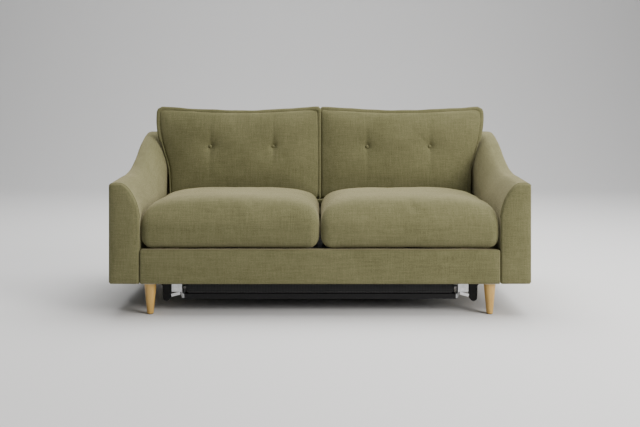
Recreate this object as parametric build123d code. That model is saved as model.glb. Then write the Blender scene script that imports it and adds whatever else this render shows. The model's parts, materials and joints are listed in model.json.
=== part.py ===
from build123d import *
from math import cos, radians, sin
import os

# Two-seat sofa bed with sweeping arms and a three-section folding bed stowed under the seat.
#
# Frame: +X is right in a front view, +Y runs from front to back, +Z is up. The front faces -Y.
# The origin is at floor level, at the centre of the overall width and depth. Units are millimetres.
# The bed is three hinged sections. A pair of parallel links on each side lifts the head section over the
# front rail and forward, while the middle section turns over and carries the foot section to the front.

# ---- driving dimensions ----
WIDTH = 1830.0                # over both arms
SEAT_HALF = 783.0             # centre line to the inner face of an arm
BASE_Z = 137.0                # underside of the upholstered base, the height of the feet
RAIL_TOP = 285.0              # top of the front rail
FRONT_D = -12.0               # furthest point forward, measured from the front face of the arms
BACK_D = 930.0                # rear face of the back
ARM_FRONT_TOP = 567.0         # height of the arm at its front
ARM_BACK_TOP = 773.0          # height of the arm at its back
CUSHION_TOP = 462.0           # seat cushion, top of the side
BACK_CUSHION_TOP = 908.0
SEAT_REAR = 636.0             # rear face of the seat cushions
LEDGE = (413.0, 431.0, 436.0)  # rear ledge: underside, top of the board, top of its cover
RAKE = 10.0                   # degrees, lean of the back

TUBE = 22.0                   # square tube of the bed frames
WALL = 1.5
FRAME_HALF = 600.0            # outer half width of the middle section's frame
END_HALF = 599.0              # and of the head and foot sections, which clear its hinge ears
PAD = 52.0                    # thickness of the mattress
PAD_HALF = 594.0
HEAD_Z = 58.0                 # underside of the head section's frame, stowed
HEAD_D = (80.0, 800.0)        # front and rear of the head section, stowed
MIDDLE_D = (80.0, 650.0)
FOOT_D = (66.0, 650.0)
LAYER_GAP = 1.0

LINK_LENGTH = 165.5
LINK_START = -40.0            # degrees above the horizontal, seen from the base pivot, stowed
LINK_X = (660.0, 666.0)       # the links' plane
HEAD_PIVOTS_D = (291.8, 671.8)
LEG_LENGTH = 310.0
LEG_R = 10.0
PIN_R = 5.0
RUNNING = 0.08                # radial clearance of a turning pin

MID_D = (FRONT_D + BACK_D) / 2
HALF = WIDTH / 2

# ---- heights and pivots that follow ----
head_pad = (HEAD_Z + TUBE, HEAD_Z + TUBE + PAD)
FOLD_D, FOLD_Z = 75.0, head_pad[1] + LAYER_GAP              # hinge of head and middle sections
middle_pad = (FOLD_Z + LAYER_GAP, FOLD_Z + LAYER_GAP + PAD)
middle_frame = (middle_pad[1], middle_pad[1] + TUBE)
TIP_D, TIP_Z = 655.0, middle_frame[1] + LAYER_GAP           # hinge of middle and foot sections
foot_frame = (TIP_Z + LAYER_GAP, TIP_Z + LAYER_GAP + TUBE)
foot_pad = (foot_frame[1], foot_frame[1] + PAD)
HEAD_PIVOT_Z = HEAD_Z + TUBE / 2
BASE_PIVOT_Z = HEAD_PIVOT_Z - LINK_LENGTH * sin(radians(LINK_START))
BASE_PIVOTS_D = [d - LINK_LENGTH * cos(radians(LINK_START)) for d in HEAD_PIVOTS_D]
MIDDLE_LEG = (560.0, (middle_frame[0] + middle_frame[1]) / 2)
FOOT_LEG = (95.0, (foot_frame[0] + foot_frame[1]) / 2)
FOOT_LEG_X = (612.0, 632.0)
MIDDLE_LEG_X = (634.0, 654.0)


# ---- building helpers: x, then distance back from the arms' front face, then height ----
def block(x0, x1, d0, d1, z0, z1):
    """Box between two corners."""
    centre = ((x0 + x1) / 2, (d0 + d1) / 2 - MID_D, (z0 + z1) / 2)
    return Pos(*centre) * Box(x1 - x0, d1 - d0, z1 - z0)


def side_plane(x):
    """Plane at x whose first axis runs backwards and second axis up."""
    return Plane(origin=(x, -MID_D, 0), x_dir=(0, 1, 0), z_dir=(1, 0, 0))


def plate(outline, x0, x1):
    """Closed outline of (distance back, height) points or a sketch, extruded from x0 to x1."""
    face = outline if isinstance(outline, Sketch) else make_face(Polyline(*outline, close=True))
    return extrude(side_plane(x0) * face, x1 - x0)


def rod(x0, x1, d, z, r):
    """Round bar along X."""
    return plate(Pos(d, z) * Circle(r), x0, x1)


def upright(x, d, z0, z1, r):
    """Round bar along Z."""
    return Pos(x, d - MID_D, (z0 + z1) / 2) * Cylinder(r, z1 - z0)


def other_side(shape):
    return mirror(shape, about=Plane.YZ)


def both(shape):
    """Separate left and right copies in one compound."""
    return [shape, other_side(shape)]


def flat(things):
    found = []
    for thing in things:
        found += flat(thing) if isinstance(thing, list) else [thing]
    return found


def save(name, *shapes):
    """Writes every solid of the shapes as one node."""
    solids = [s for shape in flat(shapes) for s in shape.solids()]
    export_step(solids[0] if len(solids) == 1 else Compound(children=solids), f"parts/{name}.step")


def save_pair(name, shape):
    """The shape is on the +X side, which is the right in a front view."""
    save(f"{name}_right", shape)
    save(f"{name}_left", other_side(shape))


# ---- sofa body ----
ARM_BOARD_X = (832.0, 854.0)
ARM_TOP_LINE = [(0, ARM_FRONT_TOP), (150, 578), (330, 590), (480, 626), (620, 682), (760, 743),
                (868, ARM_BACK_TOP)]
ARM_BACK_D = 868.0
PAD_RADIUS = 70.0             # rounding of the arm's inner top edge


def arm_cover():
    """Upholstered arm: vertical outer face, sweeping top, well rounded along its inner top edge."""
    top = Spline(*ARM_TOP_LINE, tangents=[(1, 0.08), (1, 0.3)])
    outline = Polyline((ARM_BACK_D, ARM_BACK_TOP), (ARM_BACK_D, BASE_Z), (0, BASE_Z), (0, ARM_FRONT_TOP))
    solid = plate(make_face(Curve() + [top, outline]), SEAT_HALF, HALF)
    edge = solid.edges().filter_by(lambda e: e.length > ARM_BACK_D and abs(e.center().X - SEAT_HALF) < 1)
    solid = fillet(edge, PAD_RADIUS)
    return solid - arm_board()


def arm_board():
    """Plywood side panel, standing in a pocket that opens at the bottom of the arm."""
    outline = [(30, BASE_Z), (ARM_BACK_D - 28, BASE_Z), (ARM_BACK_D - 28, 690), (700, 655),
               (520, 580), (360, 535), (30, 515)]
    return plate(outline, *ARM_BOARD_X)


BACK_BOARD_D = (884.0, 902.0)
BACK_TOP = ARM_BACK_TOP
LEDGE_FRONT = 652.0
WELL_REAR = 850.0


def rake_shift(z, z0):
    """How far the raked back moves rearwards between heights z0 and z."""
    return (z - z0) * sin(radians(RAKE)) / cos(radians(RAKE))


def back_cover():
    """Upholstered back: a thin lower panel behind the bed well and a raked upper part."""
    foot_front = 806.0
    top_front = foot_front + rake_shift(BACK_TOP, LEDGE[2])
    outline = [(WELL_REAR, BASE_Z), (BACK_D, BASE_Z), (BACK_D, BACK_TOP - 40), (BACK_D - 22, BACK_TOP),
               (top_front + 12, BACK_TOP), (top_front, BACK_TOP - 14), (foot_front, LEDGE[2]),
               (foot_front, LEDGE[0]), (WELL_REAR, LEDGE[0])]
    lower = plate(outline, -SEAT_HALF + 1, SEAT_HALF - 1)
    pocket = block(-760, 760, BACK_BOARD_D[0] - 10, BACK_BOARD_D[1], BASE_Z - 1, 730)
    side = plate([(ARM_BACK_D, BASE_Z), (BACK_D, BASE_Z), (BACK_D, BACK_TOP - 40),
                  (BACK_D - 22, BACK_TOP), (ARM_BACK_D, BACK_TOP)], SEAT_HALF - 1, HALF)
    return (lower + side + other_side(side)) - pocket


def back_webbing():
    """Four elastic straps across the front of the back panel."""
    rear = BACK_BOARD_D[0] - 2
    return [block(-750, 750, rear - 2, rear, z, z + 50) for z in (460, 530, 600, 670)]


def front_rail():
    """Timber beam and its padded cover, which wraps over the top."""
    beam = block(-685, 685, 18, 45, BASE_Z, RAIL_TOP - 15)
    pad = [(0, BASE_Z), (18, BASE_Z), (18, RAIL_TOP - 15), (58, RAIL_TOP - 15), (58, RAIL_TOP - 8),
           (50, RAIL_TOP), (10, RAIL_TOP), (0, RAIL_TOP - 10)]
    save("front_rail_beam", beam)
    save("front_rail_cover", plate(pad, -SEAT_HALF + 2, SEAT_HALF - 2))


FOOT_X = 742.0
FRONT_FOOT_D, REAR_FOOT_D = 48.0, 886.0
FOOT_TOP_R, FOOT_TIP_R, GLIDE_H, PLATE_H = 26.5, 14.0, 3.0, 3.0
BOLT_R = 4.0


def tapered_foot(x, d):
    height = BASE_Z - PLATE_H - GLIDE_H
    cone = Pos(x, d - MID_D, GLIDE_H + height / 2) * Cone(FOOT_TIP_R, FOOT_TOP_R, height)
    return cone - upright(x, d, 90, BASE_Z, BOLT_R)


def feet():
    places = {"front_right": (FOOT_X, FRONT_FOOT_D), "front_left": (-FOOT_X, FRONT_FOOT_D),
              "rear_right": (FOOT_X, REAR_FOOT_D), "rear_left": (-FOOT_X, REAR_FOOT_D)}
    for name, place in places.items():
        save(f"foot_{name}", tapered_foot(*place))
    plates = [block(x - 26, x + 26, d - 26, d + 26, BASE_Z - PLATE_H, BASE_Z)
              - upright(x, d, BASE_Z - 9, BASE_Z + 9, BOLT_R) for x, d in places.values()]
    save("foot_plates", plates)
    save("foot_glides", [upright(x, d, 0, GLIDE_H, FOOT_TIP_R - 1) for x, d in places.values()])
    save("foot_bolts", [upright(x, d, 90, 170, BOLT_R) for x, d in places.values()])


def corner_block(d0, d1, foot_d):
    solid = block(687, SEAT_HALF - 2, d0, d1, BASE_Z, RAIL_TOP - 15)
    return solid - upright(FOOT_X, foot_d, 100, 170, BOLT_R)


def sofa_body():
    save_pair("arm_cover", arm_cover())
    save("arm_boards", both(arm_board()))
    board = block(-756, 756, *BACK_BOARD_D, BASE_Z + 4, 726)
    hole = upright(FOOT_X, REAR_FOOT_D, 100, 170, BOLT_R)
    save("back_board", board - hole - other_side(hole))
    cover = back_cover()
    save("back_cover", cover - hole - other_side(hole))
    save("back_webbing", back_webbing())
    front_rail()
    save("corner_blocks", both(corner_block(18, 110, FRONT_FOOT_D)))
    save("side_rails", both(block(745, SEAT_HALF - 2, 110, WELL_REAR, BASE_Z + 6, 240)))
    save("rear_ledge_board", block(-SEAT_HALF + 2, SEAT_HALF - 2, LEDGE_FRONT, 806, LEDGE[0], LEDGE[1]))
    save("rear_ledge_cover", block(-SEAT_HALF + 2, SEAT_HALF - 2, LEDGE_FRONT, 805, LEDGE[1], LEDGE[2]))


# ---- fixed part of the folding action ----
POST_D = (112.0, 150.0)
POST_X = (660.0, 708.0)
PLATE_X = (669.0, 675.0)


def side_plate():
    """Steel plate that carries the link pivots, on two stand-off channels screwed to the side rail."""
    outline = [(112, 151), (600, 151), (600, 202), (112, 202)]
    solid = plate(outline, *PLATE_X)
    for d in (220, 470):
        solid += block(PLATE_X[1], 745, d, d + 80, 156, 196)
        solid -= block(PLATE_X[1], 746, d + 3, d + 77, 159, 197)
    for d in BASE_PIVOTS_D:
        solid -= rod(650, 680, d, BASE_PIVOT_Z, PIN_R)
    return solid


def stanchion():
    """Black post that hangs below the rail, with a rounded bottom end."""
    top, shoulder, tip, round_r = 150.0, 118.0, 41.0, 16.5
    outline = [(POST_X[0], top), (POST_X[1], top), (POST_X[1], shoulder), (POST_X[1] - 7, shoulder - 8),
               (POST_X[1] - 9, tip + round_r), (POST_X[0] + 6, tip + round_r), (POST_X[0], shoulder)]
    plane = Plane(origin=(0, POST_D[1] - MID_D, 0), x_dir=(1, 0, 0), z_dir=(0, -1, 0))
    body = extrude(plane * make_face(Polyline(*outline, close=True)), POST_D[1] - POST_D[0])
    centre_x = (POST_X[0] + 6 + POST_X[1] - 9) / 2
    end = extrude(plane * Pos(centre_x, tip + round_r) * Circle(round_r), POST_D[1] - POST_D[0])
    return body + end


def action_base():
    save("action_side_plates", both(side_plate()))
    save("action_stanchions", both(stanchion()))
    pins = []
    for d in BASE_PIVOTS_D:
        pin = rod(LINK_X[0] - 3, PLATE_X[1], d, BASE_PIVOT_Z, PIN_R)
        pin += rod(LINK_X[0] - 6, LINK_X[0] - 1, d, BASE_PIVOT_Z, 9)
        pins += both(pin)
    save("link_base_pins", pins)


# ---- lift links ----
def link(base_d):
    """Flat steel link with rounded ends, from its base pivot to the head section's pivot."""
    half_width = 14.0
    a = Vector(base_d, BASE_PIVOT_Z)
    b = Vector(base_d + LINK_LENGTH * cos(radians(LINK_START)), HEAD_PIVOT_Z)
    middle = (a + b) / 2
    bar = Pos(middle.X, middle.Y) * Rot(0, 0, LINK_START) * Rectangle(LINK_LENGTH, 2 * half_width)
    outline = bar + Pos(a.X, a.Y) * Circle(half_width) + Pos(b.X, b.Y) * Circle(half_width)
    solid = plate(Sketch() + outline, *LINK_X)
    for end in (a, b):
        solid -= rod(LINK_X[0] - 1, LINK_X[1] + 1, end.X, end.Y, PIN_R + RUNNING)
    return solid


# ---- bed sections ----
def tube_x(x0, x1, d0, z0):
    """Square tube along X."""
    return block(x0, x1, d0, d0 + TUBE, z0, z0 + TUBE) - block(
        x0 - 1, x1 + 1, d0 + WALL, d0 + TUBE - WALL, z0 + WALL, z0 + TUBE - WALL)


def tube_y(x0, d0, d1, z0):
    """Square tube along Y, closed at its front end."""
    return block(x0, x0 + TUBE, d0, d1, z0, z0 + TUBE) - block(
        x0 + WALL, x0 + TUBE - WALL, d0 + 2, d1 + 1, z0 + WALL, z0 + TUBE - WALL)


def section_frame(span, z0, half=END_HALF):
    """Two side tubes and two cross tubes, as separate welded members."""
    inner = half - TUBE
    sides = both(tube_y(inner, *span, z0))
    ends = [tube_x(-inner, inner, d, z0) for d in (span[0], span[1] - TUBE)]
    return sides + ends


def section_deck(span, z0, half=END_HALF):
    """Woven panel stretched between the tubes."""
    inner = half - TUBE
    return block(-inner, inner, span[0] + TUBE, span[1] - TUBE, z0, z0 + 4)


def section_pad(span, z):
    edge = 14.0
    solid = block(-PAD_HALF, PAD_HALF, span[0], span[1], *z)
    return chamfer(solid.edges().filter_by(Axis.Z), edge)


EAR_X = (FRAME_HALF, 605.0)
CHEEK_X = (607.0, 611.0)


def eye(d, z, r, x):
    return rod(x[0], x[1], d, z, r)


def head_bracket():
    """Zinc bracket on the head section: a cheek for the fold pin, with a wide front flange."""
    x0, x1 = CHEEK_X
    spacer = block(END_HALF, x0, 92, 120, HEAD_Z + 2, HEAD_Z + TUBE - 2)
    cheek = plate([(67, 92), (92, HEAD_Z + 2), (122, HEAD_Z + 2), (122, HEAD_Z + TUBE), (88, FOLD_Z + 9),
                   (67, FOLD_Z + 9)], x0, x1)
    flange = block(x1, 652, 67, 71, 92, FOLD_Z + 9)
    return (spacer + cheek + flange) - rod(590, 617, FOLD_D, FOLD_Z, PIN_R)


def catch_strap():
    """Slanted zinc strap along the lower edge of the bracket's flange."""
    outline = [(613, 80), (652, 70), (655, 82), (616, 92)]
    plane = Plane(origin=(0, 71 - MID_D, 0), x_dir=(1, 0, 0), z_dir=(0, -1, 0))
    return extrude(plane * make_face(Polyline(*outline, close=True)), 4)


def middle_ears():
    """Ears on the middle section: one reaches the fold hinge, one the tip hinge."""
    x0, x1 = EAR_X
    fold = plate([(76, middle_frame[0] + 2), (66, FOLD_Z), (84, FOLD_Z), (118, middle_frame[0] + 2),
                  (118, middle_frame[1] - 2), (84, middle_frame[1] - 2)], x0, x1)
    fold += eye(FOLD_D, FOLD_Z, 10, EAR_X)
    tip = plate([(596, middle_frame[0] + 2), (650, middle_frame[0] + 2), (664, TIP_Z), (648, TIP_Z),
                 (636, middle_frame[1]), (596, middle_frame[1])], x0, x1) + eye(TIP_D, TIP_Z, 9, EAR_X)
    hole = PIN_R + RUNNING
    return [fold - rod(590, 620, FOLD_D, FOLD_Z, hole), tip - rod(590, 620, TIP_D, TIP_Z, hole)]


def foot_cheek():
    """Cheek on the foot section that holds the tip hinge pin."""
    x0, x1 = CHEEK_X
    spacer = block(END_HALF, x0, 598, 632, foot_frame[0] + 3, foot_frame[1] - 2)
    cheek = plate([(596, foot_frame[0] + 1), (655, TIP_Z - 9), (664, TIP_Z), (655, TIP_Z + 9),
                   (640, foot_frame[1]), (596, foot_frame[1])], x0, x1)
    return (spacer + cheek) - rod(600, 612, TIP_D, TIP_Z, PIN_R)


def leg(pivot, x, direction):
    """Round leg with a cross hole, folded along the frame. direction is +1 when it points backwards."""
    d, z = pivot
    centre_x = (x[0] + x[1]) / 2
    foot_length = 46.0
    start, end = d - direction * 12, d + direction * (LEG_LENGTH - foot_length)
    plane = Plane(origin=(centre_x, start - MID_D, z), z_dir=(0, direction, 0))
    bar = extrude(plane * Circle(LEG_R), abs(end - start))
    foot_plane = Plane(origin=(centre_x, end - MID_D, z), z_dir=(0, direction, 0))
    shoe = loft([foot_plane * Circle(LEG_R + 1), foot_plane.offset(foot_length) * Circle(LEG_R - 1)])
    return bar - rod(x[0] - 1, x[1] + 1, d, z, PIN_R + RUNNING), shoe


def leg_bolt(pivot, x, half):
    """Shoulder bolt from the frame's side tube through the leg."""
    d, z = pivot
    shank = rod(half, x[1] + 2, d, z, PIN_R)
    return shank + rod(x[1] + 1, x[1] + 5, d, z, 9) + rod(half, x[0] - 1, d, z, 8)


def bed():
    save("head_frame", section_frame(HEAD_D, HEAD_Z))
    save("head_deck", section_deck(HEAD_D, HEAD_Z + TUBE - 5))
    save("head_mattress", section_pad(HEAD_D, head_pad))
    save("head_brackets", both(head_bracket()))
    save("fold_pins", both(rod(FRAME_HALF, CHEEK_X[1] + 5, FOLD_D, FOLD_Z, PIN_R)))
    save("catch_straps", both(catch_strap()))
    pivot_pins = []
    for d in HEAD_PIVOTS_D:
        collar = rod(END_HALF, LINK_X[0] - 1, d, HEAD_PIVOT_Z, 9)
        pivot_pins += both(collar + rod(LINK_X[0] - 2, LINK_X[1] + 1, d, HEAD_PIVOT_Z, PIN_R))
    save("head_pivot_pins", pivot_pins)

    save("middle_frame", section_frame(MIDDLE_D, middle_frame[0], FRAME_HALF))
    save("middle_deck", section_deck(MIDDLE_D, middle_frame[0] + 1, FRAME_HALF))
    save("middle_mattress", section_pad(MIDDLE_D, middle_pad))
    save("middle_hinge_ears", [both(e) for e in middle_ears()])
    save("middle_leg_bolts", both(leg_bolt(MIDDLE_LEG, MIDDLE_LEG_X, FRAME_HALF)))

    save("foot_frame", section_frame(FOOT_D, foot_frame[0]))
    save("foot_deck", section_deck(FOOT_D, foot_frame[0] + TUBE - 5))
    save("foot_mattress", section_pad(FOOT_D, foot_pad))
    save("foot_hinge_cheeks", both(foot_cheek()))
    tip_pin = rod(FRAME_HALF, CHEEK_X[1] + 5, TIP_D, TIP_Z, PIN_R)
    save("tip_pins", both(tip_pin))
    save("foot_leg_bolts", both(leg_bolt(FOOT_LEG, FOOT_LEG_X, END_HALF)))

    for name, pivot, x, direction in (("middle", MIDDLE_LEG, MIDDLE_LEG_X, -1),
                                      ("foot", FOOT_LEG, FOOT_LEG_X, 1)):
        bar, shoe = leg(pivot, x, direction)
        save_pair(f"{name}_leg", bar)
        save_pair(f"{name}_leg_shoe", shoe)


def links():
    save_pair("front_lift_link", link(BASE_PIVOTS_D[0]))
    save_pair("rear_lift_link", link(BASE_PIVOTS_D[1]))


# ---- cushions ----
def seat_cushion():
    """Boxed seat cushion with rounded edges, right-hand side."""
    solid = block(4, SEAT_HALF - 3, FRONT_D, SEAT_REAR, foot_pad[1] + 4, CUSHION_TOP)
    solid = fillet(solid.edges().filter_by(Axis.Z), 46)
    edges = solid.edges().group_by(Axis.Z)[-1]
    return fillet(edges, 44)


def back_cushion():
    """Loose back cushion, wider at the top than between the arms, leaning on the raked back."""
    thickness = 150.0
    z0 = LEDGE[2] + 2
    height = (BACK_CUSHION_TOP - z0 - 2) / cos(radians(RAKE))
    widths = [(0, 776), (330, 778), (372, 836), (height - 30, 842), (height, 820)]
    outline = [(5, 0)] + [(w, h) for h, w in widths] + [(30, height), (5, height - 30)]
    slope = radians(RAKE)
    lean = Plane(origin=(0, 642 - MID_D, z0), x_dir=(1, 0, 0), z_dir=(0, -cos(slope), sin(slope)))
    solid = extrude(lean * make_face(Polyline(*outline, close=True)), -thickness)
    floor_cut = block(0, 900, 500, 1000, z0 - 200, z0)
    return solid - floor_cut


BUTTON_X = (240.0, 561.0)
BUTTON_H = 265.0              # up the leaning face of the cushion


def buttons():
    """Covered buttons on the cushion's front face."""
    slope = radians(RAKE)
    z0 = LEDGE[2] + 2
    made = []
    for x in BUTTON_X:
        centre = Vector(x, 642 - MID_D + BUTTON_H * sin(slope), z0 + BUTTON_H * cos(slope))
        plane = Plane(origin=centre, x_dir=(1, 0, 0), z_dir=(0, -cos(slope), sin(slope)))
        made.append(extrude(plane * Circle(9), 3))
    return made


def cushions():
    save_pair("seat_cushion", seat_cushion())
    save_pair("back_cushion", back_cushion())
    made = buttons()
    save("back_buttons_right", made)
    save("back_buttons_left", [other_side(b) for b in made])


os.makedirs("parts", exist_ok=True)
sofa_body()
feet()
action_base()
links()
bed()
cushions()
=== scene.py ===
"""Looks for the sofa bed: upholstery, cushions, mattress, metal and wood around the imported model."""
import json
import math

import bmesh
import bpy
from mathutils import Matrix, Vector, kdtree, noise


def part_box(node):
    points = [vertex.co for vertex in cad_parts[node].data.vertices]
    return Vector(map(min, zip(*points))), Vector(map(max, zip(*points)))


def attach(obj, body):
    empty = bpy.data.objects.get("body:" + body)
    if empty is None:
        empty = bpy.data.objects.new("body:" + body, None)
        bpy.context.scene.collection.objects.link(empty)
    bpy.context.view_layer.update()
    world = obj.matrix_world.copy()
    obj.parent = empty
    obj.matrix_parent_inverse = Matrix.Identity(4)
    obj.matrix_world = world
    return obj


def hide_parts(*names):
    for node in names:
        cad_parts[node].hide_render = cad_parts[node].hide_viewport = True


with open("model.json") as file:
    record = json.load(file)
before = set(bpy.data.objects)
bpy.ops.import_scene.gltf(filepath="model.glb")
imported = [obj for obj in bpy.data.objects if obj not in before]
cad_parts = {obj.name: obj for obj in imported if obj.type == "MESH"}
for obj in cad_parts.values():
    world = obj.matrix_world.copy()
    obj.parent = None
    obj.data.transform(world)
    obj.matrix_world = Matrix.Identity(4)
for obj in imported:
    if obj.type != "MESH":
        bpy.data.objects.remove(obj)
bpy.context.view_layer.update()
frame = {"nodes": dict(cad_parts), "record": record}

SOFA = "sofa"
MID_D = 0.459                 # the arms' front face stands this far in front of the origin
HALF = 0.915                  # half of the overall width
INNER = 0.783                 # from the middle to an arm's inner face
BASE = 0.137                  # underside of the upholstered base
SIDES = {"right": 1.0, "left": -1.0}


# ---- small mesh tools ----
def smoothstep(a, b, x):
    """0 at a, 1 at b, easing in and out between them."""
    t = min(1.0, max(0.0, (x - a) / (b - a)))
    return t * t * (3 - 2 * t)


def lerp_table(table, x):
    """Smooth curve through (x, value) pairs, by cubic steps."""
    if x <= table[0][0]:
        return table[0][1]
    for i in range(len(table) - 1):
        (x0, y0), (x1, y1) = table[i], table[i + 1]
        if x <= x1:
            before = table[max(0, i - 1)]
            after = table[min(len(table) - 1, i + 2)]
            m0 = (y1 - before[1]) / (x1 - before[0])
            m1 = (after[1] - y0) / (after[0] - x0)
            h = x1 - x0
            t = (x - x0) / h
            a = (1 + 2 * t) * (1 - t) ** 2 * y0 + t * (1 - t) ** 2 * h * m0
            return a + t * t * (3 - 2 * t) * y1 + t * t * (t - 1) * h * m1
    return table[-1][1]


def make_object(name, verts, faces, material, smooth=True):
    mesh = bpy.data.meshes.new(name)
    mesh.from_pydata([tuple(v) for v in verts], [], faces)
    mesh.materials.append(material)
    obj = bpy.data.objects.new(name, mesh)
    bpy.context.collection.objects.link(obj)
    work = bmesh.new()
    work.from_mesh(mesh)
    bmesh.ops.remove_doubles(work, verts=work.verts, dist=1e-5)
    bmesh.ops.recalc_face_normals(work, faces=work.faces)
    work.to_mesh(mesh)
    work.free()
    mesh.polygons.foreach_set("use_smooth", [smooth] * len(mesh.polygons))
    return obj


def skin(name, rings, material, mirrored=False):
    """Closed surface over rings of equal length. The first and last rings close on themselves."""
    count = len(rings[0])
    verts = [v for ring in rings for v in ring]
    if mirrored:
        verts = [(-x, y, z) for x, y, z in verts]
    faces = []
    for r in range(len(rings) - 1):
        for i in range(count):
            j = (i + 1) % count
            faces.append((r * count + i, r * count + j, (r + 1) * count + j, (r + 1) * count + i))
    faces.append(tuple(range(count)))
    faces.append(tuple((len(rings) - 1) * count + i for i in range(count)))
    return make_object(name, verts, faces, material)


def apply_modifiers(obj):
    bpy.context.view_layer.update()
    depsgraph = bpy.context.evaluated_depsgraph_get()
    mesh = bpy.data.meshes.new_from_object(obj.evaluated_get(depsgraph))
    obj.modifiers.clear()
    obj.data = mesh
    mesh.polygons.foreach_set("use_smooth", [True] * len(mesh.polygons))


def subdivide(obj, levels=1):
    modifier = obj.modifiers.new("smooth", "SUBSURF")
    modifier.levels = levels
    modifier.render_levels = levels


def finish_piece(obj, body, replaced):
    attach(obj, body)
    if replaced:
        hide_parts(*replaced)
    return obj


def tube(name, points, radius, material, closed=False):
    """Round cord through points, such as a seam's welt."""
    curve = bpy.data.curves.new(name, "CURVE")
    curve.dimensions = "3D"
    curve.bevel_depth = radius
    curve.bevel_resolution = 2
    spline = curve.splines.new("POLY")
    spline.points.add(len(points) - 1)
    for point, co in zip(spline.points, points):
        point.co = (*co, 1.0)
    spline.use_cyclic_u = closed
    curve.materials.append(material)
    obj = bpy.data.objects.new(name, curve)
    bpy.context.collection.objects.link(obj)
    mesh = bpy.data.meshes.new_from_object(obj)
    bpy.data.objects.remove(obj)
    mesh.materials.clear()
    mesh.materials.append(material)
    mesh.polygons.foreach_set("use_smooth", [True] * len(mesh.polygons))
    obj = bpy.data.objects.new(name, mesh)
    bpy.context.collection.objects.link(obj)
    return obj


# ---- materials ----
def node(tree, kind, inputs=None, **settings):
    made = tree.nodes.new(kind)
    for key, value in settings.items():
        setattr(made, key, value)
    for key, value in (inputs or {}).items():
        if isinstance(value, bpy.types.NodeSocket):
            tree.links.new(value, made.inputs[key])
        else:
            made.inputs[key].default_value = value
    return made


def new_material(name, roughness, metallic=0.0, **sockets):
    material = bpy.data.materials.new(name)
    material.use_nodes = True
    shader = material.node_tree.nodes["Principled BSDF"]
    shader.inputs["Roughness"].default_value = roughness
    shader.inputs["Metallic"].default_value = metallic
    for key, value in sockets.items():
        shader.inputs[key.replace("_", " ")].default_value = value
    return material, material.node_tree, shader


def ramp(tree, factor, stops):
    made = node(tree, "ShaderNodeValToRGB", {"Fac": factor})
    elements = made.color_ramp.elements
    while len(elements) < len(stops):
        elements.new(0.5)
    for element, (position, color) in zip(elements, stops):
        element.position = position
        element.color = (*color, 1.0)
    return made.outputs["Color"]


def stretched_noise(tree, coords, scale, detail, stretch=(1, 1, 1), roughness=0.55):
    mapping = node(tree, "ShaderNodeMapping", {"Vector": coords, "Scale": stretch})
    return node(tree, "ShaderNodeTexNoise", {
        "Vector": mapping.outputs["Vector"], "Scale": scale, "Detail": detail, "Roughness": roughness,
    }).outputs["Fac"]


def math_node(tree, operation, a, b):
    return node(tree, "ShaderNodeMath", {0: a, 1: b}, operation=operation).outputs[0]


def weighted_sum(tree, *parts):
    """Sum of values, each times its share."""
    total = None
    for value, share in parts:
        scaled = math_node(tree, "MULTIPLY", value, share)
        total = math_node(tree, "ADD", total, scaled) if total else scaled
    return total


def chenille(name, dark, light):
    """Pile fabric: fine slubs along both yarns, and faint clouds where the pile lies differently."""
    material, tree, shader = new_material(name, 0.95, Sheen_Weight=0.36, Sheen_Roughness=0.45,
                                          Sheen_Tint=(0.80, 0.70, 0.45, 1), Specular_IOR_Level=0.12)
    coords = node(tree, "ShaderNodeTexCoord").outputs["Object"]
    clouds = stretched_noise(tree, coords, 5, 3)
    weft = stretched_noise(tree, coords, 190, 4, (0.07, 1, 1), 0.65)
    warp = stretched_noise(tree, coords, 190, 4, (1, 0.09, 0.09), 0.65)
    yarn = stretched_noise(tree, coords, 520, 2, (0.5, 1, 1), 0.6)
    total = weighted_sum(tree, (clouds, 0.17), (weft, 0.24), (warp, 0.22), (yarn, 0.37))
    tree.links.new(ramp(tree, total, [(0.375, dark), (0.63, light)]), shader.inputs["Base Color"])
    fine = node(tree, "ShaderNodeBump", {"Height": yarn, "Strength": 0.6, "Distance": 0.0012})
    slubs = math_node(tree, "ADD", weft, warp)
    coarse = node(tree, "ShaderNodeBump", {"Height": slubs, "Strength": 0.4, "Distance": 0.0016,
                                           "Normal": fine.outputs["Normal"]})
    tree.links.new(coarse.outputs["Normal"], shader.inputs["Normal"])
    return material


cloth = chenille("chenille", (0.089, 0.088, 0.039), (0.176, 0.168, 0.087))


def woven(name, color_a, color_b, pitch, roughness=0.9):
    """Plain weave of two sets of yarns, seen from above or below."""
    material, tree, shader = new_material(name, roughness, Sheen_Weight=0.1)
    coords = node(tree, "ShaderNodeTexCoord").outputs["Object"]
    waves = [node(tree, "ShaderNodeTexWave", {"Vector": coords, "Scale": 1 / pitch / 20, "Distortion": 0.4},
                  bands_direction=axis).outputs["Fac"] for axis in "XY"]
    both = math_node(tree, "MULTIPLY", waves[0], waves[1])
    blot = stretched_noise(tree, coords, 60, 4)
    mixed = weighted_sum(tree, (both, 0.6), (blot, 0.4))
    tree.links.new(ramp(tree, mixed, [(0.15, color_a), (0.7, color_b)]), shader.inputs["Base Color"])
    bump = node(tree, "ShaderNodeBump", {"Height": both, "Strength": 0.5, "Distance": 0.001})
    tree.links.new(bump.outputs["Normal"], shader.inputs["Normal"])
    return material


ticking = woven("ticking", (0.035, 0.036, 0.038), (0.095, 0.096, 0.10), 0.002)
# mattress border: a dark fabric made near-black as painted shade for the shadow under the sofa, where the
# stowed mattress shows
border_painted_shade = woven("mattress_border_painted_shade", (0.012, 0.012, 0.013), (0.03, 0.03, 0.032), 0.002)
deck_weave = woven("deck_weave", (0.008, 0.008, 0.009), (0.03, 0.03, 0.032), 0.004, 0.7)
lining = woven("lining", (0.012, 0.012, 0.012), (0.03, 0.03, 0.03), 0.002)


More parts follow.
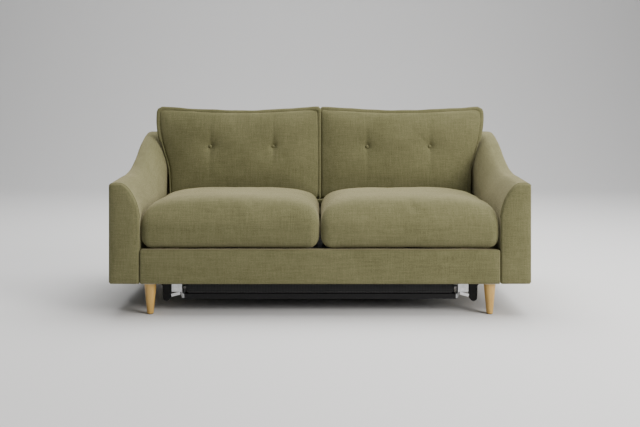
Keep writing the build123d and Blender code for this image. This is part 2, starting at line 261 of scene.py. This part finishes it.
def timber(name, dark, light, axis_stretch, roughness=0.42, coat=0.0):
    """Straight grain with darker lines along the wood."""
    material, tree, shader = new_material(name, roughness, Coat_Weight=coat, Coat_Roughness=0.3)
    coords = node(tree, "ShaderNodeTexCoord").outputs["Object"]
    grain = stretched_noise(tree, coords, 95, 6, axis_stretch, 0.6)
    pores = stretched_noise(tree, coords, 520, 3, axis_stretch, 0.7)
    mixed = weighted_sum(tree, (grain, 0.7), (pores, 0.3))
    tree.links.new(ramp(tree, mixed, [(0.32, dark), (0.62, light)]), shader.inputs["Base Color"])
    bump = node(tree, "ShaderNodeBump", {"Height": pores, "Strength": 0.15, "Distance": 0.0004})
    tree.links.new(bump.outputs["Normal"], shader.inputs["Normal"])
    return material


oak = timber("light_oak", (0.40, 0.225, 0.046), (0.56, 0.35, 0.094), (1, 1, 0.07), 0.4, 0.15)
plywood = timber("plywood", (0.30, 0.20, 0.105), (0.48, 0.35, 0.20), (0.1, 0.1, 1), 0.7)


def metal(name, color_a, color_b, roughness, metallic, bump_strength=0.05, scale=140, specular=0.5):
    """Painted or plated steel with a slight mottle and fine surface texture."""
    material, tree, shader = new_material(name, roughness, metallic, Specular_IOR_Level=specular)
    coords = node(tree, "ShaderNodeTexCoord").outputs["Object"]
    mottle = stretched_noise(tree, coords, scale, 5)
    tree.links.new(ramp(tree, mottle, [(0.35, color_a), (0.65, color_b)]), shader.inputs["Base Color"])
    rough = node(tree, "ShaderNodeMapRange", {"Value": mottle, "To Min": roughness - 0.08,
                                              "To Max": roughness + 0.1})
    tree.links.new(rough.outputs["Result"], shader.inputs["Roughness"])
    bump = node(tree, "ShaderNodeBump", {"Height": mottle, "Strength": bump_strength, "Distance": 0.0006})
    tree.links.new(bump.outputs["Normal"], shader.inputs["Normal"])
    return material


black_paint = metal("black_powder_coat", (0.004, 0.004, 0.0045), (0.010, 0.010, 0.011), 0.5, 0.0, 0.3, 900,
                    0.25)
zinc = metal("zinc_plate", (0.55, 0.56, 0.57), (0.74, 0.75, 0.76), 0.38, 0.75, 0.1, 60)
bright = metal("bright_steel", (0.5, 0.5, 0.51), (0.64, 0.64, 0.65), 0.28, 1.0)
plastic = metal("black_plastic", (0.012, 0.012, 0.012), (0.022, 0.022, 0.022), 0.55, 0.0, 0.2, 600, 0.4)

CAD_LOOKS = {"timber": plywood, "oak": oak, "zinc_steel": zinc, "bright_steel": bright,
             "black_steel": black_paint, "black_plastic": plastic, "deck": deck_weave,
             "webbing": lining, "upholstery": cloth, "mattress": ticking}
for part in frame["record"]["subparts"]:
    look = CAD_LOOKS[part["material_slot"]]
    for slot in frame["nodes"][part["node"]].material_slots:
        slot.link = "OBJECT"
        slot.material = look


# ---- shapes ----
def axis_steps(lo, hi, radius, count):
    """Positions along one axis, close together in the rounded ends."""
    ends = [radius * k / 4 for k in range(4)]
    span = hi - lo - 2 * radius
    middle = [radius + span * k / count for k in range(count + 1)]
    steps = ends + middle + [hi - lo - e for e in reversed(ends)]
    return [lo + s for s in steps]


def rounded_box(name, lo, hi, radii, counts, material, shape=None):
    """Closed box with elliptical rounding. shape(point, unit) moves each point; unit runs from -1 to 1."""
    axes = [axis_steps(lo[k], hi[k], radii[k], counts[k]) for k in range(3)]
    verts, index, faces = [], {}, []

    def vertex(i, j, k):
        if (i, j, k) not in index:
            point = Vector((axes[0][i], axes[1][j], axes[2][k]))
            core = Vector([min(hi[n] - radii[n], max(lo[n] + radii[n], point[n])) for n in range(3)])
            away = Vector([(point[n] - core[n]) / radii[n] for n in range(3)])
            if away.length > 1e-9:
                away = away.normalized() if max(map(abs, away)) > 0.999 else away
            point = Vector([core[n] + away[n] * radii[n] for n in range(3)])
            if shape:
                unit = Vector([2 * (point[n] - lo[n]) / (hi[n] - lo[n]) - 1 for n in range(3)])
                point = shape(point, unit)
            index[(i, j, k)] = len(verts)
            verts.append(point)
        return index[(i, j, k)]

    sizes = [len(a) - 1 for a in axes]
    for axis in range(3):
        a, b = [n for n in range(3) if n != axis]
        for end in (0, sizes[axis]):
            for i in range(sizes[a]):
                for j in range(sizes[b]):
                    corner = []
                    for di, dj in ((0, 0), (1, 0), (1, 1), (0, 1)):
                        place = [0, 0, 0]
                        place[axis], place[a], place[b] = end, i + di, j + dj
                        corner.append(vertex(*place))
                    faces.append(corner)
    return make_object(name, verts, faces, material)


def at_depth(point):
    """(x, distance back from the arms' front, z) in the row frame."""
    return Vector((point[0], point[1] - MID_D, point[2]))


def ripple(point, size, seed=0.0):
    return noise.noise(Vector(point) * size + Vector((seed, 3.1 * seed, 1.7 * seed)))


def inflate(obj, cap, frames=20, pressure=4.0, voxel=0.011, pins=()):
    """Puffs a closed form with cloth under pressure, each point moving no further than cap, and smooths it.

    The fabric is held where it comes near a point of pins, such as a button or a seam.
    """
    remesh = obj.modifiers.new("even", "REMESH")
    remesh.mode = "VOXEL"
    remesh.voxel_size = voxel
    apply_modifiers(obj)
    start = [v.co.copy() for v in obj.data.vertices]
    if pins:
        group = obj.vertex_groups.new(name="held")
        tree = kdtree.KDTree(len(pins))
        for i, pin in enumerate(pins):
            tree.insert(pin, i)
        tree.balance()
        for i, co in enumerate(start):
            hold = 1 - smoothstep(0.006, 0.024, tree.find(co)[2])
            if hold > 0:
                group.add([i], hold, "REPLACE")
    modifier = obj.modifiers.new("cloth", "CLOTH")
    settings = modifier.settings
    settings.use_pressure = True
    settings.uniform_pressure_force = pressure
    settings.effector_weights.gravity = 0
    settings.quality = 5
    settings.mass = 0.4
    settings.tension_stiffness = settings.compression_stiffness = 12
    settings.bending_stiffness = 2.0
    if pins:
        settings.vertex_group_mass = "held"
    scene = bpy.context.scene
    modifier.point_cache.frame_start, modifier.point_cache.frame_end = 1, frames
    for number in range(1, frames + 1):
        scene.frame_set(number)
    depsgraph = bpy.context.evaluated_depsgraph_get()
    moved = [v.co.copy() for v in obj.evaluated_get(depsgraph).data.vertices]
    obj.modifiers.clear()
    scene.frame_set(1)
    for v, before, after in zip(obj.data.vertices, start, moved):
        step = after - before
        v.co = before + step * (min(1.0, cap / step.length) if step.length > 1e-9 else 0)
    obj.data.polygons.foreach_set("use_smooth", [True] * len(obj.data.polygons))
    relax = obj.modifiers.new("relax", "SMOOTH")
    relax.iterations = 3
    apply_modifiers(obj)


# ---- arms ----
ARM_TOP = [(0.0, 0.572), (0.074, 0.578), (0.23, 0.587), (0.33, 0.593), (0.445, 0.612), (0.53, 0.643),
           (0.621, 0.684), (0.70, 0.721), (0.785, 0.754), (0.868, 0.771)]
ARM_EDGE = 0.012                  # rounding of the front edge
ARM_CORNER = 0.016                # rounding of the outer top edge
FLAT_END = HALF - 0.05            # where the flat top turns down to the inner face
ARM_DROP = 0.15                   # height of that quarter round
ROUND_POWER = 1.22                # above 1 it is fuller than an ellipse


def arm_outline(top, inset):
    """Arm section as (x, z): outer face, flat top, a long quarter round to the inner face, bottom."""
    corner, flat_end, drop = ARM_CORNER, FLAT_END, ARM_DROP
    inner = INNER - 0.001
    reach = flat_end - inner
    points = [(HALF, BASE + 0.008 + (top - corner - BASE - 0.008) * k / 14) for k in range(15)]
    for k in range(1, 5):
        turn = math.radians(90 * k / 5)
        points.append((HALF - corner + corner * math.cos(turn), top - corner + corner * math.sin(turn)))
    points += [(HALF - corner - (HALF - corner - flat_end) * k / 4, top + 0.0015 * math.sin(math.pi * k / 4))
               for k in range(4)]
    for k in range(22):
        turn = math.radians(90 * k / 21)
        points.append((flat_end - reach * math.sin(turn) ** ROUND_POWER,
                       top - drop + drop * math.cos(turn) ** ROUND_POWER))
    low = top - drop
    points += [(inner, low + (BASE + 0.005 - low) * k / 12) for k in range(1, 13)]
    points += [(inner + 0.005 + (HALF - inner - 0.013) * k / 5, BASE) for k in range(6)]
    if not inset:
        return points
    middle, half = (inner + HALF) / 2, (HALF - inner) / 2
    moved = []
    for i, (x, z) in enumerate(points):
        if z < BASE + 0.001:
            share = (half - max(inset, 0) - 0.004) / (half - 0.005)
            moved.append((middle + (x - middle) * share, BASE + inset))
            continue
        (ax, az), (bx, bz) = points[i - 1], points[(i + 1) % len(points)]
        length = math.hypot(bx - ax, bz - az)
        across, up = x - inset * (bz - az) / length, z + inset * (bx - ax) / length
        moved.append((min(max(across, inner + inset), HALF - inset), max(up, BASE + inset + 0.004)))
    return moved


def front_dome(x, z, top):
    """How far the arm's front face stands out at x, z: smooth all over, nothing at its edge."""
    height, fade = 0.005, 0.03
    across = (x - (INNER + HALF) / 2) / ((HALF - INNER) / 2 - ARM_EDGE)
    share = min(1.0, max(0.0, (FLAT_END - x) / (FLAT_END - INNER)))
    edge = top - ARM_DROP + ARM_DROP * math.cos(math.asin(share ** 0.82)) ** ROUND_POWER - ARM_EDGE
    low, high = max(0.0, z - BASE - ARM_EDGE), max(0.0, edge - z)
    return height * max(0.0, 1 - across ** 4) * (1 - math.exp(-low / fade)) * (1 - math.exp(-high / fade))


def arm(side):
    mirrored = side == "left"
    rings = []
    front_top = ARM_TOP[0][1]
    flat = arm_outline(front_top, ARM_EDGE)
    for k in range(10, 0, -1):
        share = 0.93 * k / 10
        ring = []
        for x, z in flat:
            target = (HALF - 0.062, min(front_top - 0.1, max(BASE + 0.07, z)))
            px, pz = x + (target[0] - x) * share, z + (target[1] - z) * share
            ring.append(at_depth((px, -front_dome(px, pz, front_top), pz)))
        rings.append(ring)
    for k in range(6):
        turn = math.radians(90 * k / 5)
        depth = ARM_EDGE * (1 - math.cos(turn))
        outline = arm_outline(lerp_table(ARM_TOP, depth), ARM_EDGE * (1 - math.sin(turn)))
        rings.append([at_depth((x, depth, z)) for x, z in outline])
    steps = 46
    for k in range(1, steps + 1):
        depth = ARM_EDGE + (0.868 - ARM_EDGE) * k / steps
        outline = arm_outline(lerp_table(ARM_TOP, depth), 0)
        ring = []
        for x, z in outline:
            soft = 0.0016 * ripple((x, depth, z), 7, 2.0) * smoothstep(0, 0.05, depth)
            ring.append(at_depth((min(HALF, x + soft), depth, z + soft * (z > BASE + 0.02))))
        rings.append(ring)
    shell = skin(f"arm_shell_{side}", rings, cloth, mirrored)
    finish_piece(shell, SOFA, [f"arm_cover_{side}"])
    seam_line = [at_depth((x, 0.0115, z)) for x, z in arm_outline(front_top + 0.001, -0.0006)[15:45]]
    if mirrored:
        seam_line = [Vector((-p.x, p.y, p.z)) for p in seam_line]
    finish_piece(tube(f"arm_seam_{side}", seam_line, 0.0014, cloth), SOFA, [])


# ---- rail, back and ledge ----
def rail_shape(point, unit):
    bow = 0.002 * (1 - unit.x ** 4) * (1 - unit.z ** 4)
    point.y -= bow if unit.y < 0 else 0
    point.z += 0.0012 * ripple(point, 9) * smoothstep(-0.5, 1, unit.z)
    return at_depth(point)


def body_covers():
    rail = rounded_box("front_rail_wrap", (-INNER + 0.0025, 0, BASE), (INNER - 0.0025, 0.057, 0.285),
                       (0.006, 0.011, 0.011), (60, 3, 8), cloth, rail_shape)
    finish_piece(rail, SOFA, ["front_rail_cover"])

    def slab_shape(point, unit):
        point.y += 0.006 * (1 - unit.x ** 4) * (1 - unit.z ** 4) if unit.y > 0 else 0
        return at_depth(point)

    slab = rounded_box("back_panel_wrap", (-HALF, 0.868, BASE), (HALF, 0.930, 0.773),
                       (0.02, 0.02, 0.022), (60, 3, 24), cloth, slab_shape)
    finish_piece(slab, SOFA, ["back_cover"])
    profile = [(0.851, BASE + 0.001), (0.872, BASE + 0.001), (0.872, 0.3), (0.872, 0.5), (0.872, 0.7),
               (0.872, 0.755), (0.868, 0.7675), (0.864, 0.759), (0.852, 0.70), (0.8345, 0.60),
               (0.817, 0.50), (0.807, 0.437), (0.806, 0.425), (0.806, 0.415), (0.83, 0.414), (0.850, 0.413),
               (0.851, 0.40), (0.851, 0.27)]
    stations = [-INNER + 0.0015 + (2 * INNER - 0.003) * k / 40 for k in range(41)]
    rings = [[at_depth((x, d, z)) for d, z in profile] for x in stations]
    finish_piece(skin("back_lining_wrap", rings, cloth), SOFA, [])
    ledge = rounded_box("rear_ledge_wrap", (-INNER + 0.0015, 0.6505, 0.412), (INNER - 0.0015, 0.8055, 0.4365),
                        (0.003, 0.006, 0.006), (20, 6, 3), cloth, lambda p, u: at_depth(p))
    finish_piece(ledge, SOFA, ["rear_ledge_cover"])


# ---- seat cushions ----
SEAT_LO, SEAT_HI = (0.0015, -0.004, 0.2885), (0.7815, 0.634, 0.460)


def fit_across(obj, lo, hi):
    """Stretch the piece sideways so that it runs from lo to hi, measured away from the middle."""
    reach = [abs(v.co.x) for v in obj.data.vertices]
    least, most = min(reach), max(reach)
    for v in obj.data.vertices:
        width = lo + (abs(v.co.x) - least) * (hi - lo) / (most - least)
        v.co.x = math.copysign(width, v.co.x)


def seat_cushion(side):
    sign = SIDES[side]
    seed = 5.0 if side == "right" else 11.0
    shrink = 0.005

    def shape(point, unit):
        rear = 0.55 if unit.y > 0 else 1.0
        crown = (max(0.0, 1 - abs(unit.x) ** 3.2) * max(0.0, 1 - rear * unit.y ** 6)) ** 0.62
        if unit.z > 0:
            point.z += (0.048 * crown - 0.012 * (1 - crown)) * unit.z
        if unit.y < 0:
            point.y -= 0.010 * (1 - unit.x ** 4) * (1 - unit.z ** 2)
            point.y += 0.030 * max(0.0, unit.z) ** 2 * -unit.y
        point.x -= 0.002 * unit.x * (1 - unit.z ** 2) * (1 - unit.y ** 2)
        soft = smoothstep(-0.9, 0.2, unit.z)
        point.z += soft * (0.0035 * ripple(point, 4.5, seed) + 0.0012 * ripple(point, 15, seed))
        centre = Vector((0.392, 0.315, 0.373))
        point += (centre - point).normalized() * shrink
        point = at_depth(point)
        point.x *= sign
        return point

    cushion = rounded_box(f"seat_cushion_soft_{side}", SEAT_LO, SEAT_HI, (0.040, 0.034, 0.060), (44, 36, 5),
                          cloth, shape)
    inflate(cushion, 0.007)
    subdivide(cushion)
    fit_across(cushion, SEAT_LO[0], SEAT_HI[0])
    finish_piece(cushion, f"seat_cushion_{side}", [f"seat_cushion_{side}"])


# ---- back cushions ----
RAKE = math.radians(10)
CUSHION_FOOT = (0.642, 0.438)     # front lower edge: distance back and height
CUSHION_HEIGHT = 0.470
CUSHION_DEEP = 0.138
FLANGE = 0.0115                   # how far the flat edge stands out from the seam
FLANGE_SIDES = 12
SEAM_AT = 0.036                   # the front seam's distance behind the front plane
REAR_EDGE_AT = CUSHION_DEEP - 0.022     # where the sides end and the rear face begins
FRONT_OUTER = [(0.0, 0.760), (0.10, 0.765), (0.165, 0.772), (0.245, 0.797), (0.33, 0.821), (0.40, 0.831),
               (0.470, 0.834)]
REAR_OUTER = [(0.0, 0.770), (0.30, 0.773), (0.335, 0.779), (0.375, 0.822), (0.470, 0.828)]
BUTTONS = ((0.240, 0.271), (0.561, 0.271))


def leaning(x, h, t):
    """Point at x, h up the cushion's leaning face and t behind it."""
    depth = CUSHION_FOOT[0] + h * math.sin(RAKE) + t * math.cos(RAKE)
    return at_depth((x, depth, CUSHION_FOOT[1] + h * math.cos(RAKE) - t * math.sin(RAKE)))


def dimple(x, h):
    """How far the front face is drawn in: at each button, down its column, and along a slanting crease."""
    depth = 0.0
    for bx, bh in BUTTONS:
        dx, dh = x - bx, h - bh
        r = math.hypot(dx, dh)
        depth += 0.006 * math.exp(-((r / 0.015) ** 2)) + 0.005 * math.exp(-r / 0.05)
        depth += 0.0085 * math.exp(-abs(dx) / 0.011) * math.exp(-abs(dh) / 0.085)
    dx, dh = x - BUTTONS[1][0], h - BUTTONS[1][1]
    along, aside = (dh - dx) / math.sqrt(2), (dh + dx) / math.sqrt(2)
    crease = 0.006 * math.exp(-abs(aside) / 0.008) * smoothstep(0.0, 0.02, along) * math.exp(-along / 0.08)
    return depth + crease


def press_buttons(cushion):
    """Pushes the front face in round the buttons."""
    inward = Vector((0, math.cos(RAKE), -math.sin(RAKE)))
    foot = at_depth((0, *CUSHION_FOOT))
    for v in cushion.data.vertices:
        place = v.co - foot
        t = place.dot(inward)
        h = place.y * math.sin(RAKE) + place.z * math.cos(RAKE)
        v.co += inward * dimple(abs(v.co.x), h) * (1 - smoothstep(0.02, 0.06, t))


def cushion_outline(u, v, rear):
    """u and v from 0 to 1 across and up the cushion; rear from 0 at the front seam to 1 at the back."""
    h = CUSHION_HEIGHT * v
    sag = 0.020 * math.sin(math.pi * u) * smoothstep(0.75, 1, v)
    outer = lerp_table(FRONT_OUTER, h) * (1 - rear) + lerp_table(REAR_OUTER, h) * rear
    corner = 0.022
    top = max(0.0, (h - (CUSHION_HEIGHT - corner)) / corner)
    pull = corner * (1 - math.sqrt(max(0.0, 1 - top * top)))
    left, right = 0.0015 + 0.6 * pull, outer - pull
    return left + (right - left) * u, h - sag


def back_cushion(side):
    sign = SIDES[side]
    seed = 21.0 if side == "right" else 33.0
    across, up, band = 76, 46, 6
    verts, faces = [], []

    def put(x, h, t):
        point = leaning(x, h, t)
        point.z = max(point.z, CUSHION_FOOT[1])
        point.x *= sign
        verts.append(point)
        return len(verts) - 1

    def sheet(front):
        grid = []
        for j in range(up + 1):
            row = []
            for i in range(across + 1):
                u, v = i / across, j / up
                x, h = cushion_outline(u, v, 0 if front else 1)
                edge = max(0.0, (1 - (2 * u - 1) ** 4) * (1 - (2 * v - 1) ** 4)) ** 0.5
                soft = edge * (0.004 * ripple((x, h, 0), 5, seed) + 0.0015 * ripple((x, h, 0), 17, seed))
                if front:
                    t = SEAM_AT * (1 - edge) + 0.006 * edge + soft
                else:
                    t = CUSHION_DEEP - (CUSHION_DEEP - REAR_EDGE_AT) * (1 - edge)
                row.append(put(x, h, t))
            grid.append(row)
        return grid

    front, rear = sheet(True), sheet(False)
    for grid in (front, rear):
        for j in range(up):
            for i in range(across):
                faces.append((grid[j][i], grid[j][i + 1], grid[j + 1][i + 1], grid[j + 1][i]))
    edge_cells = ([(i, 0) for i in range(across)] + [(across, j) for j in range(up)]
                  + [(i, up) for i in range(across, 0, -1)] + [(0, j) for j in range(up, 0, -1)])
    loops = [[front[j][i] for i, j in edge_cells]]
    for k in range(1, band):
        share = k / band
        loop = []
        for i, j in edge_cells:
            x, h = cushion_outline(i / across, j / up, share)
            loop.append(put(x, h, SEAM_AT + (REAR_EDGE_AT - SEAM_AT) * share))
        loops.append(loop)
    loops.append([rear[j][i] for i, j in edge_cells])
    count = len(edge_cells)
    for a, b in zip(loops, loops[1:]):
        for n in range(count):
            m = (n + 1) % count
            faces.append((a[n], a[m], b[m], b[n]))
    body = f"back_cushion_{side}"
    cushion = make_object(f"back_cushion_soft_{side}", verts, faces, cloth)
    seam = [(i / across, j / up) for i, j in edge_cells]
    held = [leaning(x, h, SEAM_AT) for x, h in (cushion_outline(u, v, 0) for u, v in seam)]
    held += [leaning(x, h, 0.006) for x, h in BUTTONS]
    for pin in held:
        pin.x *= sign
    inflate(cushion, 0.011, pressure=5.0, voxel=0.009, pins=held)
    subdivide(cushion)
    press_buttons(cushion)
    finish_piece(cushion, body, [f"back_cushion_{side}"])

    flange(side, sign, seed, seam)
    for number, (bx, bh) in enumerate(BUTTONS, 1):
        button(f"back_button_{side}_{number}", sign, bx, bh, body, side)


def flange(side, sign, seed, places):
    """Soft flat edge sewn round the front seam, slightly wavy. The left one laps over the right one."""
    points = [cushion_outline(u, v, 0) for u, v in places]
    count, rings = len(points), []
    for n, (x, h) in enumerate(points):
        (ax, ah), (bx, bh) = points[(n - 3) % count], points[(n + 3) % count]
        length = math.hypot(bx - ax, bh - ah)
        out_x, out_h = (bh - ah) / length, -(bx - ax) / length
        tucked = h < 0.02 or x > 0.5 and h < 0.30
        width = FLANGE * (0.35 if tucked else 1.0) * (1 + 0.25 * ripple((x, h, 0), 14, seed))
        wave = 0.0016 * ripple((x, h, 1), 22, seed)
        lap = -0.0055 * sign * smoothstep(0.05, 0.01, x)
        ring = []
        for k in range(FLANGE_SIDES):
            turn = 2 * math.pi * k / FLANGE_SIDES
            reach = width * (0.1 + math.cos(turn))
            t = SEAM_AT + 0.001 + 0.0046 * math.sin(turn) + wave - lap
            point = leaning(x + out_x * reach, h + out_h * reach, t)
            point.z = max(point.z, CUSHION_FOOT[1] + 0.001)
            point.x = max(0.0008 if sign > 0 else -0.005, point.x) * sign
            ring.append(point)
        rings.append(ring)
    verts = [v for ring in rings for v in ring]
    faces = []
    for a in range(count):
        here, there = a * FLANGE_SIDES, (a + 1) % count * FLANGE_SIDES
        for k in range(FLANGE_SIDES):
            after = (k + 1) % FLANGE_SIDES
            faces.append((here + k, here + after, there + after, there + k))
    edge = make_object(f"back_cushion_flange_{side}", verts, faces, cloth)
    finish_piece(edge, f"back_cushion_{side}", [])


def button(name, sign, bx, bh, body, side):
    """Domed covered button, sunk into its dimple."""
    profile = ((0.002, 0.0046), (0.004, 0.0042), (0.0065, 0.0032), (0.008, 0.0016), (0.0085, 0.0),
               (0.008, -0.0018), (0.005, -0.0025))
    rings, sides = [], 28
    seat = dimple(bx, bh) - 0.002
    for radius, rise in profile:
        rings.append([])
        for k in range(sides):
            turn = 2 * math.pi * k / sides
            point = leaning(bx + radius * math.cos(turn), bh + radius * math.sin(turn), seat - rise)
            point.x *= sign
            rings[-1].append(point)
    finish_piece(skin(name, rings, cloth), body, [f"back_buttons_{side}"])


# ---- mattress ----
SLEEPING_SIDE = {"head": 1, "middle": -1, "foot": 1}     # which way the top faces, stowed
QUILT_PITCH, QUILT_DEPTH = 0.11, 0.0035


def mattress(section):
    """Quilted pad of one bed section: ticking on the sleeping side, and on the rest a dark border fabric
    painted near-black as painted shade for the shadowed underside, where it shows below the front rail.
    """
    low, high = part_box(f"{section}_mattress")

    def shape(point, unit):
        a, b = (math.sin(math.pi * way / QUILT_PITCH) for way in (point.x + point.y, point.x - point.y))
        flat = smoothstep(1.0, 0.93, abs(unit.x)) * smoothstep(1.0, 0.9, abs(unit.y))
        if abs(unit.z) > 0.95:
            depth = QUILT_DEPTH * (1 - abs(a * b) ** 0.6) * (1 - smoothstep(0, 1, 1 - flat))
            point.z -= math.copysign(depth, unit.z)
        return point

    pad = rounded_box(f"{section}_mattress_soft", tuple(low), tuple(high), (0.02, 0.018, 0.018), (100, 60, 3),
                      ticking, shape)
    pad.data.materials.append(border_painted_shade)
    # faces off the sleeping side take the border material, whose near-black colour is painted shade
    for polygon in pad.data.polygons:
        polygon.material_index = int(polygon.normal.z * SLEEPING_SIDE[section] < 0.6)
    finish_piece(pad, f"{section}_section", [f"{section}_mattress"])
    inset, below, steps = 0.001, 0.011, 6
    for name, z in (("upper", high[2] - below), ("lower", low[2] + below)):
        x, r = high[0] - inset, 0.02
        y0, y1 = low[1] + inset, high[1] - inset
        corners = ((x - r, y1 - r, 0), (-x + r, y1 - r, 90), (-x + r, y0 + r, 180), (x - r, y0 + r, 270))
        loop = []
        for cx, cy, first in corners:
            for k in range(steps + 1):
                turn = math.radians(first + 90 * k / steps)
                loop.append(Vector((cx + r * math.cos(turn), cy + r * math.sin(turn), z)))
        welt = tube(f"{section}_mattress_welt_{name}", loop, 0.0028, lining, closed=True)
        finish_piece(welt, f"{section}_section", [])


for each_side in SIDES:
    arm(each_side)
    seat_cushion(each_side)
    back_cushion(each_side)
body_covers()
for each_section in ("head", "middle", "foot"):
    mattress(each_section)


# ---- room, light and camera ----
def plain_material(name, color, roughness):
    material, tree, shader = new_material(name, roughness, Specular_IOR_Level=0.1)
    shader.inputs["Base Color"].default_value = (*color, 1)
    return material


def room():
    """Floor that sweeps up into a wall well behind the sofa."""
    bend, radius, segments = 5.2, 3.2, 16
    profile = [(-12.0, 0.0), (bend, 0.0)]
    for k in range(1, segments + 1):
        turn = math.radians(90 * k / segments)
        profile.append((bend + radius * math.sin(turn), radius - radius * math.cos(turn)))
    profile.append((bend + radius, 9.0))
    verts, faces = [], []
    for y, z in profile:
        verts += [(-16, y, z - 0.0002), (16, y, z - 0.0002)]
    for k in range(len(profile) - 1):
        faces.append((2 * k, 2 * k + 1, 2 * k + 3, 2 * k + 2))
    make_object("studio_sweep", verts, faces,
                         plain_material("studio_grey", (0.695, 0.695, 0.697), 0.9))


def area_light(name, place, target, size, power, color=(1, 1, 1)):
    data = bpy.data.lights.new(name, "AREA")
    data.shape = "RECTANGLE"
    data.size, data.size_y = size
    data.energy = power
    data.color = color
    light = bpy.data.objects.new(name, data)
    light.location = place
    light.rotation_euler = (Vector(target) - Vector(place)).to_track_quat("-Z", "Y").to_euler()
    bpy.context.collection.objects.link(light)


room()
area_light("overhead", (0.7, 0.9, 4.3), (0.1, 0.1, 0.3), (5.5, 4.0), 440, (1.0, 0.99, 0.975))
area_light("front_fill", (1.2, -6.2, 2.4), (0, 0, 0.4), (5.0, 2.6), 6)
area_light("right_key", (4.0, -3.2, 2.4), (0.3, 0, 0.4), (3.0, 3.0), 355, (1.0, 0.97, 0.93))
area_light("wall_wash", (0, 3.5, 5.5), (0, 8.4, 2.0), (8.0, 2.0), 230)
world = bpy.data.worlds.new("studio_air")
world.use_nodes = True
world.node_tree.nodes["Background"].inputs["Color"].default_value = (0.75, 0.76, 0.78, 1)
world.node_tree.nodes["Background"].inputs["Strength"].default_value = 0.17
bpy.context.scene.world = world

EYE_HEIGHT = 0.906
EYE_DISTANCE = 3.84           # from the arms' front face
camera_data = bpy.data.cameras.new("camera")
camera_data.lens = 50
camera_data.sensor_width = 36
camera_data.shift_y = -0.1672
camera = bpy.data.objects.new("camera", camera_data)
camera.location = (0, -MID_D - EYE_DISTANCE, EYE_HEIGHT)
camera.rotation_euler = (math.radians(90), 0, 0)
bpy.context.collection.objects.link(camera)
bpy.context.scene.camera = camera

bpy.context.view_layer.update()
